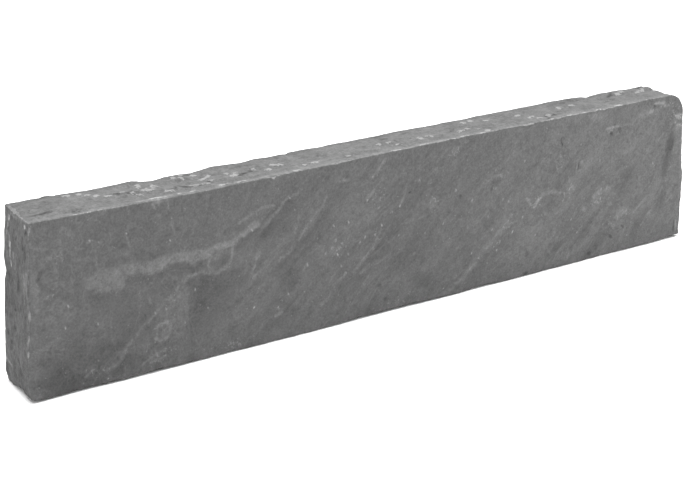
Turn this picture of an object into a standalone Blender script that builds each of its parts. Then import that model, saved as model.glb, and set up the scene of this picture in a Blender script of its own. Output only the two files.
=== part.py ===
"""Sandstone paving slab: one riven stone, about 1000 x 200 x 80 mm, standing on a long narrow side.

Metres, +Z up. X runs along the stone, Y through its thickness with the front face at -Y, and Z
is its height. The origin is on the base, under the middle. Every face starts as a plane of a box
and gets its own relief: the two riven faces wave and break along thin layers, and the hewn top,
base and ends step from layer to layer.
"""
import math

import bmesh
import bpy
import numpy as np

MM = 0.001

# Driving dimensions
LENGTH = 1.0
THICKNESS = 0.08
HEIGHT = 0.203
CELLS = (300, 36, 60)          # cells of the box along X, Y and Z before it is thinned out
TRIANGLES = 9400               # faces of the finished solid

# How far the upright edges stand out from the nominal ends, as (height, out) in millimetres
LEFT_FRONT = ((0, 8.5), (8, 10.0), (16, 12.5), (48, 10.5), (80, 8.2), (120, 6.1), (160, 3.8), (203, 1.2))
LEFT_BACK = ((0, -3.5), (14, -0.6), (56, -2.1), (96, -4.1), (118, -5.5), (128, -7.9), (144, -6.4),
             (176, -8.8), (192, -11.0), (203, -10.8))
RIGHT_FRONT = ((0, 5.0), (12, 5.0), (42, 4.6), (70, 4.2), (90, 3.3), (97, 2.0), (132, 1.0),
               (168, -0.6), (203, -0.8))
RIGHT_BACK = ((0, 1.5), (60, 3.2), (110, 0.6), (160, 1.0), (203, 2.0))

# The worn corner at the top of the right end is rounder in front than behind
CORNER_FRONT = 29.0 * MM
CORNER_BACK = 7.0 * MM

# Height of the long edges, as (x, rise) in millimetres from the nominal height or from the ground
TOP_FRONT = ((-500, 0.5), (-400, 0.0), (-285, -1.5), (-200, 0.0), (15, 2.5), (400, 4.0), (500, 4.5))
TOP_BACK = ((-500, 1.0), (-450, 2.0), (-400, -0.5), (-345, 0.5), (-315, -2.5), (-260, -3.0),
            (-230, 0.4), (-192, -2.0), (-168, -0.8), (-148, -2.0), (-115, -1.0), (60, 0.0), (300, 1.0),
            (360, 1.5), (385, -1.2), (410, 0.5), (470, -1.0), (500, -0.4))
FOOT_FRONT = ((-500, 3.5), (-480, 2.0), (-400, 2.5), (-385, 1.5), (-355, 3.0), (-310, 1.5),
              (-255, 0.0), (-235, 1.5), (-210, 0.0), (-130, 0.0), (-108, 1.8), (-88, 3.5),
              (-60, 2.8), (30, 2.5), (100, 0.0), (148, 2.2), (165, 0.5), (190, 0.0), (205, 1.5),
              (275, 0.0), (330, 0.0), (360, -0.6), (380, 0.6), (440, 0.8), (475, 2.4), (500, 2.4))

# Riven faces: slant of the streaks, and how far the waves, streaks and thin layers stand out
STREAK_SLANT = math.radians(38)
WAVE = 0.9 * MM
STREAK = 0.5 * MM
LAYER = 0.6 * MM

# Hewn faces: spacing and height of the ledges, depth of the hammered hollows
LEDGE_SPACING = 11.0 * MM
LEDGE_WIDTH = 1.6 * MM
LEDGE_WANDER = 5.0 * MM
TOP_LEDGE = 2.6 * MM
END_LEDGE = 2.4 * MM
FOOT_LEDGE = 2.6 * MM
HOLLOW = 2.0 * MM
FOOT_SEAT = -0.6 * MM           # the lower, the more of the underside stands on the ground

# Worn arrises: the least and the most that is broken off a sharp edge
ARRIS_LEAST = 0.7 * MM
ARRIS_MOST = 2.4 * MM
ARRIS_NIBBLE = 25.0 * MM

# Chips struck off the arrises: edge, place along it, length along it and size, in millimetres
CHIPS = (
    ("top front", -186, 7, 3.0), ("top front", 262, 20, 1.8), ("top back", -318, 34, 5.0),
    ("top back", -124, 9, 4.0), ("top back", 384, 12, 2.5), ("top back", -441, 7, 3.5),
    ("foot front", -250, 18, 3.5), ("foot front", 130, 24, 3.0), ("foot front", 350, 16, 1.6),
    ("foot back", -120, 40, 7.0), ("foot back", 280, 34, 8.0), ("left front", 195, 7, 3.4),
    ("left front", 100, 12, 3.0), ("left front", 56, 5, 3.2), ("left back", 28, 10, 3.5),
    ("left back", 62, 9, 2.0), ("right front", 60, 12, 1.6),
    ("right back", 110, 26, 7.0), ("right back", 30, 14, 5.0), ("left foot", -6, 36, 9.0),
    ("left top", 10, 44, 4.0),
)

# Pits in the front face and in the top, as (x, z or y, radius, depth) in millimetres
FRONT_PITS = ((271, 172, 4, 1.3), (303, 135, 4, 1.1), (362, 169, 4, 1.5), (376, 170, 4, 1.5),
              (443, 194, 4, 1.2), (392, 35, 5, 1.3), (370, 22, 4, 1.0), (-199, 132, 6, 0.6),
              (-392, 150, 9, 0.8), (-482, 138, 9, 0.8))
TOP_PITS = ((109, -6, 6, 2.4), (417, 19, 10, 2.2), (-293, -20, 6, 2.2), (276, -17, 6, 2.0),
            (-470, -18, 13, 1.6), (-441, -32, 6, 2.0), (-479, 27, 7, 1.2), (-357, -1, 5, 1.6),
            (-305, -18, 5, 1.5), (-236, 3, 9, 1.8), (-213, -13, 6, 1.5), (-196, -7, 6, 1.8),
            (-60, -21, 6, 1.0), (258, -28, 6, 1.8), (19, 15, 8, 0.8), (56, 22, 8, 0.8),
            (-14, -34, 6, 1.2), (213, 12, 6, 1.2), (480, 28, 7, 1.5), (-187, -39, 5, 1.6))

# Colour and finish of the stone
STONE_COLOUR = (0.17, 0.17, 0.17, 1.0)
STONE_ROUGHNESS = 0.85


def clear_scene():
    for obj in list(bpy.data.objects):
        bpy.data.objects.remove(obj, do_unlink=True)


def ease(t):
    """Smooth step from 0 to 1."""
    t = np.clip(t, 0.0, 1.0)
    return t * t * (3 - 2 * t)


def blend(low, high, t):
    return low + (high - low) * t


def scatter(i, j, seed):
    """A repeatable number from 0 to 1 for each pair of whole numbers."""
    n = i.astype(np.int64) * 374761393 + j.astype(np.int64) * 668265263 + seed * 69069
    n = (n ^ (n >> 13)) & 0x7FFFFFFF
    n = (n * 1274126177) & 0x7FFFFFFF
    n = n ^ (n >> 16)
    return (n & 0xFFFF) / 65535.0


def swell(u, v, seed):
    """Smooth bumps and dips from about -1 to 1, one to each unit of u and v."""
    i, j = np.floor(u), np.floor(v)
    a, b = u - i, v - j

    def corner(di, dj):
        turn = 2 * math.pi * scatter(i + di, j + dj, seed)
        return np.cos(turn) * (a - di) + np.sin(turn) * (b - dj)

    near = blend(corner(0, 0), corner(1, 0), ease(a))
    far = blend(corner(0, 1), corner(1, 1), ease(a))
    return 1.5 * blend(near, far, ease(b))


def rough(u, v, seed, layers=3):
    """Swells with finer swells on them, each half the size of the one before."""
    total = 0.0
    for k in range(layers):
        total = total + swell(u * 2 ** k, v * 2 ** k, seed + k) / 2 ** k
    return total


def bowls(u, v, seed):
    """Hollows that meet in ridges, as a hammer leaves them: 0 in a hollow, towards 1 on a ridge."""
    i, j = np.floor(u), np.floor(v)
    best = np.full(np.shape(u + v), 1.0)
    for di in (-1, 0, 1):
        for dj in (-1, 0, 1):
            across = u - (i + di + 0.15 + 0.7 * scatter(i + di, j + dj, seed))
            along = v - (j + dj + 0.15 + 0.7 * scatter(i + di, j + dj, seed + 1))
            best = np.minimum(best, across ** 2 + along ** 2)
    return best


def along_edge(place, points):
    """How far an edge stands out at a place along it, through hand-set points in millimetres."""
    places = [p[0] * MM for p in points]
    rises = [p[1] * MM for p in points]
    return np.interp(place, places, rises)


def pits(u, v, holes):
    """Depth of the round pits of a face."""
    depth = 0.0
    for place_u, place_v, radius, deep in holes:
        far = np.hypot(u - place_u * MM, v - place_v * MM) / (radius * MM)
        depth = depth + deep * MM * (1 - ease(far))
    return depth


def riven(x, z, seed):
    """Relief of a riven face: broad waves, slanting streaks, and thin layers broken along curves."""
    along = x * math.cos(STREAK_SLANT) + z * math.sin(STREAK_SLANT)
    across = z * math.cos(STREAK_SLANT) - x * math.sin(STREAK_SLANT)
    waves = WAVE * rough(x / 0.30, z / 0.16, seed, 2)
    streaks = STREAK * rough(along / 0.11, across / 0.024, seed + 10, 3)
    field = 2.5 * rough(along / 0.20, across / 0.07, seed + 20, 3)
    level = np.floor(field)
    layers = LAYER * (level + ease((field - level) / 0.12))
    return waves + streaks + layers


def ledges(run, across, height, seed):
    """Steps from layer to layer of a hewn face, which wander, grow and die out along the run.

    The steps add up to nothing at both sides of the face, so its edges keep their own lines.
    """
    total = 0.0
    climb = 0.0
    for k in range(1, round(THICKNESS / LEDGE_SPACING)):
        wander = LEDGE_WANDER * rough(run / 0.10, 0.37 + 0 * run, seed + k)
        line = k * LEDGE_SPACING - THICKNESS / 2 + wander
        step = height * swell(run / 0.09, 0.61 + 0 * run, seed + 30 + k)
        total = total + step * ease((across - line) / LEDGE_WIDTH + 0.5)
        climb = climb + step
    return total - climb * ease(across / THICKNESS + 0.5)


def hewn(run, across, ledge, seed):
    """Relief of a hewn face: ledges, hammered hollows and a coarse grain."""
    hollows = HOLLOW * (bowls(run / 0.045, across / 0.020, seed + 60) - 0.4)
    grain = 0.5 * MM * rough(run / 0.016, across / 0.009, seed + 70)
    return ledges(run, across, ledge, seed) + hollows + grain


def top_rise(x, y):
    """Height of the hewn top, whose front arris is the straighter one."""
    behind = y / THICKNESS + 0.5
    edges = blend(along_edge(x, TOP_FRONT), along_edge(x, TOP_BACK), behind)
    calm = blend(0.3, 1.0, ease(behind / 0.15)) * blend(1.0, 0.6, ease((behind - 0.85) / 0.15))
    return edges + calm * hewn(x, y, TOP_LEDGE, 100) - pits(x, y, TOP_PITS)


def foot_rise(x, y):
    """Height of the underside: its high spots stand on the ground, the rest is hollow."""
    behind = ease((y / THICKNESS + 0.5) / 0.35)
    rise = blend(along_edge(x, FOOT_FRONT), FOOT_SEAT, behind) - hewn(x, y, FOOT_LEDGE, 200)
    return np.maximum(rise, 0.0)


def front_relief(x, z):
    """How far the front face stands forward."""
    return riven(x, z, 300) - pits(x, z, FRONT_PITS)


def end_relief(y, z, front_edge, back_edge, seed):
    """How far an end stands out between its two upright edges."""
    lean = blend(along_edge(z, front_edge), along_edge(z, back_edge), y / THICKNESS + 0.5)
    return lean + 0.6 * hewn(z, y, END_LEDGE, seed)


def round_corner(x, y, z):
    """Turn the square corner at the top of the right end into a round one."""
    radius = blend(CORNER_FRONT, CORNER_BACK, y / THICKNESS + 0.5)
    out = np.maximum(0.0, x - (LENGTH / 2 - radius))
    up = np.maximum(0.0, z - (HEIGHT - radius))
    reach = np.hypot(out, up)
    shrink = np.where(reach > 0, np.maximum(out, up) / np.maximum(reach, 1e-9), 1.0)
    return x + out * (shrink - 1), z + up * (shrink - 1)


def broken_off(place, edge, seed):
    """Size of the strip broken off an arris, at each place along it."""
    nibbled = np.maximum(0.0, rough(place / ARRIS_NIBBLE, 0.5 + 0 * place, seed, 4))
    size = ARRIS_LEAST + (ARRIS_MOST - ARRIS_LEAST) * nibbled ** 2
    for name, middle, length, deep in CHIPS:
        if name == edge:
            near = 1 - ease(np.abs(place - middle * MM) / (length * MM))
            size = np.maximum(size, deep * MM * near)
    return size


def shape_stone(box):
    """Move the points of the plain box to the surface of the stone."""
    x, y, z = box[:, 0], box[:, 1], box[:, 2]
    right = x / LENGTH + 0.5
    behind = y / THICKNESS + 0.5
    above = z / HEIGHT
    sx, sz = round_corner(x, y, z)
    left_end = end_relief(y, z, LEFT_FRONT, LEFT_BACK, 500)
    right_end = end_relief(y, z, RIGHT_FRONT, RIGHT_BACK, 600)
    sx = sx + blend(-left_end, right_end, right)
    sy = y + blend(-front_relief(x, z), riven(x, z, 400), behind)
    sz = sz + blend(foot_rise(x, y), top_rise(x, y), above)

    depth = {"left": x + LENGTH / 2, "right": LENGTH / 2 - x, "front": y + THICKNESS / 2,
             "back": THICKNESS / 2 - y, "foot": z, "top": HEIGHT - z}
    inward = {"left": (1, 0, 0), "right": (-1, 0, 0), "front": (0, 1, 0),
              "back": (0, -1, 0), "foot": (0, 0, 1), "top": (0, 0, -1)}
    arrises = (("top front", x), ("top back", x), ("foot front", x), ("foot back", x),
               ("left front", z), ("left back", z), ("right front", z), ("right back", z),
               ("left top", y), ("left foot", y), ("right foot", y))
    stone = np.stack((sx, sy, sz), axis=1)
    for number, (edge, place) in enumerate(arrises):
        one, other = edge.split()
        size = broken_off(place, edge, 700 + 10 * number)
        over = np.maximum(0.0, size - depth[one] - depth[other]) / 2
        stone += over[:, None] * (np.array(inward[one]) + np.array(inward[other]))
    middle = (stone.min(axis=0) + stone.max(axis=0)) / 2
    return stone - (middle[0], middle[1], 0.0)


def box_cells():
    """A closed box, cut in cells along each axis, with the cells closer together at the edges."""
    mesh = bmesh.new()
    bmesh.ops.create_cube(mesh, size=1.0)
    for axis, cells in enumerate(CELLS):
        edges = [e for e in mesh.edges if abs(e.verts[0].co[axis] - e.verts[1].co[axis]) > 0.5]
        bmesh.ops.subdivide_edges(mesh, edges=edges, cuts=cells - 1, use_grid_fill=True)
    return mesh


def crowd(t, pull):
    """Draw evenly spread values from -0.5 to 0.5 towards both limits."""
    return t + pull * np.sin(2 * math.pi * t) / (2 * math.pi)


def make_stone(collection):
    """The slab itself."""
    cells = box_cells()
    unit = np.array([v.co for v in cells.verts])
    box = np.stack((LENGTH * crowd(unit[:, 0], 0.1), THICKNESS * crowd(unit[:, 1], 0.4),
                    HEIGHT * (crowd(unit[:, 2], 0.4) + 0.5)), axis=1)
    stone = shape_stone(box)
    for vert, place in zip(cells.verts, stone):
        vert.co = place
    bmesh.ops.triangulate(cells, faces=cells.faces)
    bmesh.ops.recalc_face_normals(cells, faces=cells.faces)
    faces = len(cells.faces)
    mesh = bpy.data.meshes.new("sandstone_slab")
    cells.to_mesh(mesh)
    cells.free()
    slab = bpy.data.objects.new("sandstone_slab", mesh)
    collection.objects.link(slab)
    thin = slab.modifiers.new("thin out", "DECIMATE")
    thin.ratio = TRIANGLES / faces
    mesh.materials.append(stone_finish())
    return slab


def stone_finish():
    """Dry grey sandstone."""
    finish = bpy.data.materials.new("sandstone")
    finish.use_nodes = True
    shader = finish.node_tree.nodes["Principled BSDF"]
    shader.inputs["Base Color"].default_value = STONE_COLOUR
    shader.inputs["Roughness"].default_value = STONE_ROUGHNESS
    shader.inputs["Metallic"].default_value = 0.0
    return finish


def main():
    clear_scene()
    collection = bpy.data.collections.new("sandstone paving slab")
    bpy.context.scene.collection.children.link(collection)
    make_stone(collection)


main()
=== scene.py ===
"""The look of the sandstone paving slab: its fine surface, its finish, and a soft studio around it.

Metres, +Z up; the tables of places and sizes are in millimetres. The stone has the same shape as the
solid it stands for, on a finer grid, with a fine grain and raised flakes added.
"""
import math

import bmesh
import bpy
import numpy as np
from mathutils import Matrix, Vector


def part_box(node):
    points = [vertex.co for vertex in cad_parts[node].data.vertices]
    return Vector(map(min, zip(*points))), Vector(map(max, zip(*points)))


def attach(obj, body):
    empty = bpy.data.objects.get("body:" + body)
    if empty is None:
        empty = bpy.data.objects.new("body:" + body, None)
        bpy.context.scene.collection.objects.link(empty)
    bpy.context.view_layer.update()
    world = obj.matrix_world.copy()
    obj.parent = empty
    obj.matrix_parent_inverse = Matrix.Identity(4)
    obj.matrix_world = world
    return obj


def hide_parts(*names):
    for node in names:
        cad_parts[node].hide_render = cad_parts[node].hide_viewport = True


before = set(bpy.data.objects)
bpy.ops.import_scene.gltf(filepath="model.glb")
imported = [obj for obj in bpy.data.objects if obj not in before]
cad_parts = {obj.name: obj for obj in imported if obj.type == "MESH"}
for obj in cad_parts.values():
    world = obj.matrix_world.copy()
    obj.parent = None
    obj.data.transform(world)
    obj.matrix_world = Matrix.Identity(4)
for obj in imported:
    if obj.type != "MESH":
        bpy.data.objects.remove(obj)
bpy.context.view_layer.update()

MM = 0.001
NODE = "sandstone_slab"

# The stone as it is built, and the cells of its fine skin along X, Y and Z
LENGTH = 1.0
THICKNESS = 0.08
HEIGHT = 0.203
CELLS = (560, 32, 104)
HIDDEN_KEPT = 0.61               # share of the faces left once the back and the base are thinned out

# How far the upright edges stand out from the nominal ends, as (height, out) in millimetres
LEFT_FRONT = ((0, 8.5), (8, 10.0), (16, 12.5), (48, 10.5), (80, 8.2), (120, 6.1), (160, 3.8), (203, 1.2))
LEFT_BACK = ((0, -3.5), (14, -0.6), (56, -2.1), (96, -4.1), (118, -5.5), (128, -7.9), (144, -6.4),
             (176, -8.8), (192, -11.0), (203, -10.8))
RIGHT_FRONT = ((0, 5.0), (12, 5.0), (42, 4.6), (70, 4.2), (90, 3.3), (97, 2.0), (132, 1.0),
               (168, -0.6), (203, -0.8))
RIGHT_BACK = ((0, 1.5), (60, 3.2), (110, 0.6), (160, 1.0), (203, 2.0))

# The worn corner at the top of the right end is rounder in front than behind
CORNER_FRONT = 29.0 * MM
CORNER_BACK = 7.0 * MM

# Height of the long edges, as (x, rise) in millimetres from the nominal height or from the ground
TOP_FRONT = ((-500, 0.5), (-400, 0.0), (-285, -1.5), (-200, 0.0), (15, 2.5), (400, 4.0), (500, 4.5))
TOP_BACK = ((-500, 1.0), (-450, 2.0), (-400, -0.5), (-345, 0.5), (-315, -2.5), (-260, -3.0),
            (-230, 0.4), (-192, -2.0), (-168, -0.8), (-148, -2.0), (-115, -1.0), (60, 0.0), (300, 1.0),
            (360, 1.5), (385, -1.2), (410, 0.5), (470, -1.0), (500, -0.4))
FOOT_FRONT = ((-500, 3.5), (-480, 2.0), (-400, 2.5), (-385, 1.5), (-355, 3.0), (-310, 1.5),
              (-255, 0.0), (-235, 1.5), (-210, 0.0), (-130, 0.0), (-108, 1.8), (-88, 3.5),
              (-60, 2.8), (30, 2.5), (100, 0.0), (148, 2.2), (165, 0.5), (190, 0.0), (205, 1.5),
              (275, 0.0), (330, 0.0), (360, -0.6), (380, 0.6), (440, 0.8), (475, 2.4), (500, 2.4))

# Riven faces: slant of the streaks, and how far the waves, streaks and thin layers stand out
STREAK_SLANT = math.radians(38)
WAVE = 0.9 * MM
STREAK = 0.5 * MM
LAYER = 0.6 * MM

# Hewn faces: spacing and height of the ledges, depth of the hammered hollows
LEDGE_SPACING = 11.0 * MM
LEDGE_WIDTH = 1.6 * MM
LEDGE_WANDER = 5.0 * MM
TOP_LEDGE = 2.6 * MM
END_LEDGE = 2.4 * MM
FOOT_LEDGE = 2.6 * MM
HOLLOW = 2.0 * MM
FOOT_SEAT = -0.6 * MM           # the lower, the more of the underside stands on the ground

# Worn arrises: the least and the most that is broken off a sharp edge
ARRIS_LEAST = 0.7 * MM
ARRIS_MOST = 2.4 * MM
ARRIS_NIBBLE = 25.0 * MM

# Chips struck off the arrises: edge, place along it, length along it and size, in millimetres
CHIPS = (
    ("top front", -186, 7, 3.0), ("top front", 262, 20, 1.8), ("top back", -318, 34, 5.0),
    ("top back", -124, 9, 4.0), ("top back", 384, 12, 2.5), ("top back", -441, 7, 3.5),
    ("foot front", -250, 18, 3.5), ("foot front", 130, 24, 3.0), ("foot front", 350, 16, 1.6),
    ("foot back", -120, 40, 7.0), ("foot back", 280, 34, 8.0), ("left front", 195, 7, 3.4),
    ("left front", 100, 12, 3.0), ("left front", 56, 5, 3.2), ("left back", 28, 10, 3.5),
    ("left back", 62, 9, 2.0), ("right front", 60, 12, 1.6),
    ("right back", 110, 26, 7.0), ("right back", 30, 14, 5.0), ("left foot", -6, 36, 9.0),
    ("left top", 10, 44, 4.0),
)

# Pits in the front face and in the top, as (x, z or y, radius, depth) in millimetres
FRONT_PITS = ((271, 172, 4, 1.3), (303, 135, 4, 1.1), (362, 169, 4, 1.5), (376, 170, 4, 1.5),
              (443, 194, 4, 1.2), (392, 35, 5, 1.3), (370, 22, 4, 1.0), (-199, 132, 6, 0.6),
              (-392, 150, 9, 0.8), (-482, 138, 9, 0.8))
TOP_PITS = ((109, -6, 6, 2.4), (417, 19, 10, 2.2), (-293, -20, 6, 2.2), (276, -17, 6, 2.0),
            (-470, -18, 13, 1.6), (-441, -32, 6, 2.0), (-479, 27, 7, 1.2), (-357, -1, 5, 1.6),
            (-305, -18, 5, 1.5), (-236, 3, 9, 1.8), (-213, -13, 6, 1.5), (-196, -7, 6, 1.8),
            (-60, -21, 6, 1.0), (258, -28, 6, 1.8), (19, 15, 8, 0.8), (56, 22, 8, 0.8),
            (-14, -34, 6, 1.2), (213, 12, 6, 1.2), (480, 28, 7, 1.5), (-187, -39, 5, 1.6))

# Fine grain that the coarser solid leaves out, and how far the pale flakes of the top stand up
FINE_GRAIN = 0.12 * MM
FLAKE_RISE = 0.7 * MM

# Share of a line's half width over which it keeps its full strength, and the blur of a layer's edge
LINE_CORE = 0.25
SHARP_EDGE = 1.5 * MM

# Lines on the front, as (how much paler, half width, points (x, z)), in millimetres; those along
# the rim of the round corner at the right are white chips with a painted highlight
FRONT_LINES_AND_HIGHLIGHTS = (
    (0.26, 3.4, ((-412, 17), (-400, 20), (-393, 27), (-387, 38), (-373, 50))),
    (0.22, 2.6, ((-373, 50), (-365, 60), (-358, 62), (-350, 70), (-337, 80), (-318, 95))),
    (0.30, 2.8, ((-310, 100), (-305, 105), (-287, 107), (-277, 102), (-266, 101), (-256, 104),
                 (-249, 110), (-244, 120), (-244, 127))),
    (0.18, 2.6, ((-276, 105), (-278, 115), (-270, 127))),
    (0.22, 4.5, ((-270, 133), (-256, 134), (-244, 132))),
    (0.42, 2.8, ((-350, 52), (-343, 56), (-334, 57))),
    (0.22, 2.8, ((-350, 40), (-340, 35), (-331, 42), (-330, 52), (-335, 57))),
    (0.36, 2.2, ((-367, 14), (-355, 20), (-337, 25))),
    (0.22, 2.2, ((-357, 13), (-337, 17))),
    (0.20, 2.2, ((-420, 22), (-413, 13))), (0.18, 2.4, ((-440, 15), (-428, 22))),
    (-0.20, 4.0, ((-492, 138), (-488, 146), (-480, 148))), (-0.16, 4.0, ((-492, 138), (-486, 129))),
    (0.26, 2.6, ((-500, 180), (-496, 175), (-484, 170))), (0.18, 2.4, ((-480, 162), (-467, 157))),
    (0.18, 2.0, ((-463, 181), (-463, 163))), (0.16, 2.4, ((-460, 192), (-452, 181))),
    (0.16, 2.0, ((-421, 158), (-421, 140))), (0.30, 2.0, ((-431, 169), (-425, 171))),
    (0.20, 2.0, ((-383, 170), (-379, 155))), (0.22, 2.2, ((-389, 149), (-383, 146))),
    (0.18, 2.0, ((-325, 180), (-322, 158))), (0.24, 2.2, ((-329, 200), (-328, 188))),
    (0.30, 2.2, ((-348, 197), (-345, 192))), (0.22, 2.2, ((-341, 200), (-339, 194))),
    (0.20, 2.4, ((-358, 92), (-354, 84))),
    (0.24, 2.6, ((-235, 155), (-222, 160), (-202, 168), (-185, 167))),
    (0.26, 3.2, ((-197, 145), (-190, 153), (-180, 160), (-173, 168))),
    (0.34, 2.4, ((-173, 168), (-166, 173), (-152, 176), (-146, 181))),
    (0.24, 2.8, ((-150, 118), (-145, 126), (-137, 135), (-127, 145), (-115, 155), (-110, 167))),
    (0.20, 2.2, ((-156, 128), (-152, 140), (-150, 148))),
    (0.20, 2.2, ((-220, 87), (-213, 98), (-209, 111))), (0.22, 2.4, ((-216, 84), (-206, 92), (-198, 100))),
    (0.22, 2.6, ((-178, 100), (-167, 104), (-160, 110))),
    (0.22, 2.4, ((-150, 76), (-142, 82), (-138, 88))),
    (0.34, 2.4, ((-92, 180), (-77, 180))),
    (0.26, 2.4, ((-42, 177), (-34, 184), (-28, 190), (-22, 197))),
    (0.24, 2.4, ((-48, 153), (-38, 162), (-27, 173))),
    (0.22, 2.8, ((-40, 88), (-34, 97), (-30, 103), (-27, 112))),
    (0.22, 2.6, ((-40, 88), (-52, 77), (-62, 68), (-68, 60))),
    (0.26, 2.4, ((-75, 68), (-85, 60), (-98, 52), (-104, 43), (-112, 36), (-118, 30))),
    (0.14, 2.4, ((-60, 58), (-45, 65), (-28, 68), (-12, 74))),
    (0.18, 2.4, ((-15, 90), (-5, 94))), (0.14, 2.4, ((5, 108), (22, 111), (40, 112))),
    (-0.14, 3.0, ((-195, 155), (-180, 165), (-165, 170))),
    (-0.15, 3.0, ((-160, 104), (-152, 112), (-133, 125))),
    (-0.16, 2.2, ((-172, 33), (-164, 39), (-156, 46), (-152, 50))), (0.30, 2.4, ((-186, 31), (-176, 34))),
    (-0.20, 2.2, ((-160, 33), (-150, 33))), (-0.10, 2.4, ((-238, 56), (-231, 63))),
    (0.16, 2.2, ((-240, 74), (-228, 71))),
    (0.24, 2.4, ((10, 153), (7, 143), (1, 133))),
    (0.26, 2.6, ((24, 161), (32, 162), (33, 156))), (0.26, 2.8, ((45, 152), (50, 158))),
    (0.26, 2.2, ((150, 144), (162, 146), (172, 142))), (0.20, 2.2, ((176, 147), (187, 144))),
    (0.18, 2.6, ((136, 138), (146, 140))),
    (0.30, 2.4, ((94, 15), (103, 18))),
    (0.12, 5.0, ((76, 6), (90, 14), (104, 18), (112, 25), (124, 34))),
    (0.08, 8.0, ((118, 32), (130, 42), (140, 50), (157, 63))),
    (0.50, 2.4, ((212, 106), (217, 102), (219, 96), (226, 92))),
    (0.48, 3.6, ((226, 92), (232, 100), (240, 107), (254, 107), (272, 104))),
    (0.34, 2.6, ((352, 177), (365, 178))), (0.24, 2.4, ((365, 178), (398, 177), (406, 180))),
    (0.20, 2.6, ((400, 182), (418, 186), (436, 190))),
    (0.26, 2.4, ((428, 30), (437, 40), (446, 48))), (0.24, 2.4, ((440, 82), (447, 90), (453, 100))),
    (0.22, 2.4, ((410, 50), (420, 57), (430, 66))), (0.22, 2.4, ((462, 30), (472, 38))),
    (0.18, 2.0, ((457, 62), (466, 78))), (0.26, 2.4, ((455, 146), (462, 154))),
    (0.26, 2.4, ((286, 122), (290, 112), (297, 104))), (0.18, 2.4, ((262, 148), (266, 132))),
    (0.14, 2.0, ((484, 60), (486, 90))), (0.14, 2.0, ((474, 60), (480, 80))),
    (0.12, 2.2, ((-88, 8), (-62, 34), (-45, 56))),
    (0.12, 2.2, ((-66, 6), (-30, 46), (-12, 62))),
    # The five pale lines that follow lie along the rim of the round corner: white chips with a painted
    # highlight
    (0.70, 2.2, ((483, 177), (490, 175), (496, 171))), (0.60, 2.0, ((490, 163), (498, 161))),
    (0.40, 2.6, ((462, 193), (472, 192))), (0.50, 3.0, ((444, 199), (462, 198))),
    (0.45, 2.4, ((434, 188), (441, 190))), (-0.35, 2.0, ((494, 8), (494, 24))),
    (0.35, 2.0, ((498, 6), (498, 24))),
)

# Edges of thin layers on the front, as (how much paler beside the edge, how far the tone reaches,
# points (x, z)); the tone lies on the left of the way along the points
FRONT_STEPS = (
    (-0.15, 56, ((-258, 101), (-272, 102), (-290, 105), (-305, 103), (-308, 90), (-306, 62))),
    (-0.12, 16, ((-250, 120), (-275, 120), (-300, 117), (-320, 124), (-345, 117), (-378, 119))),
    (-0.08, 24, ((-386, 106), (-402, 108), (-432, 109))),
    (-0.15, 18, ((-195, 146), (-212, 144), (-238, 135))),
    (-0.14, 30, ((-118, 140), (-134, 126), (-150, 112), (-176, 96))),
    (-0.12, 30, ((-20, 100), (-34, 88), (-60, 66), (-92, 50))),
    (-0.14, 26, ((-166, 170), (-180, 160), (-200, 142))),
    (-0.06, 40, ((176, 74), (150, 48), (118, 24), (92, 6))),
    (-0.12, 30, ((392, 98), (366, 70), (346, 40), (330, 18))),
    (0.10, 30, ((-430, 60), (-470, 70), (-500, 60))),
    (-0.12, 30, ((300, 158), (272, 130), (250, 110))),
)
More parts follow.
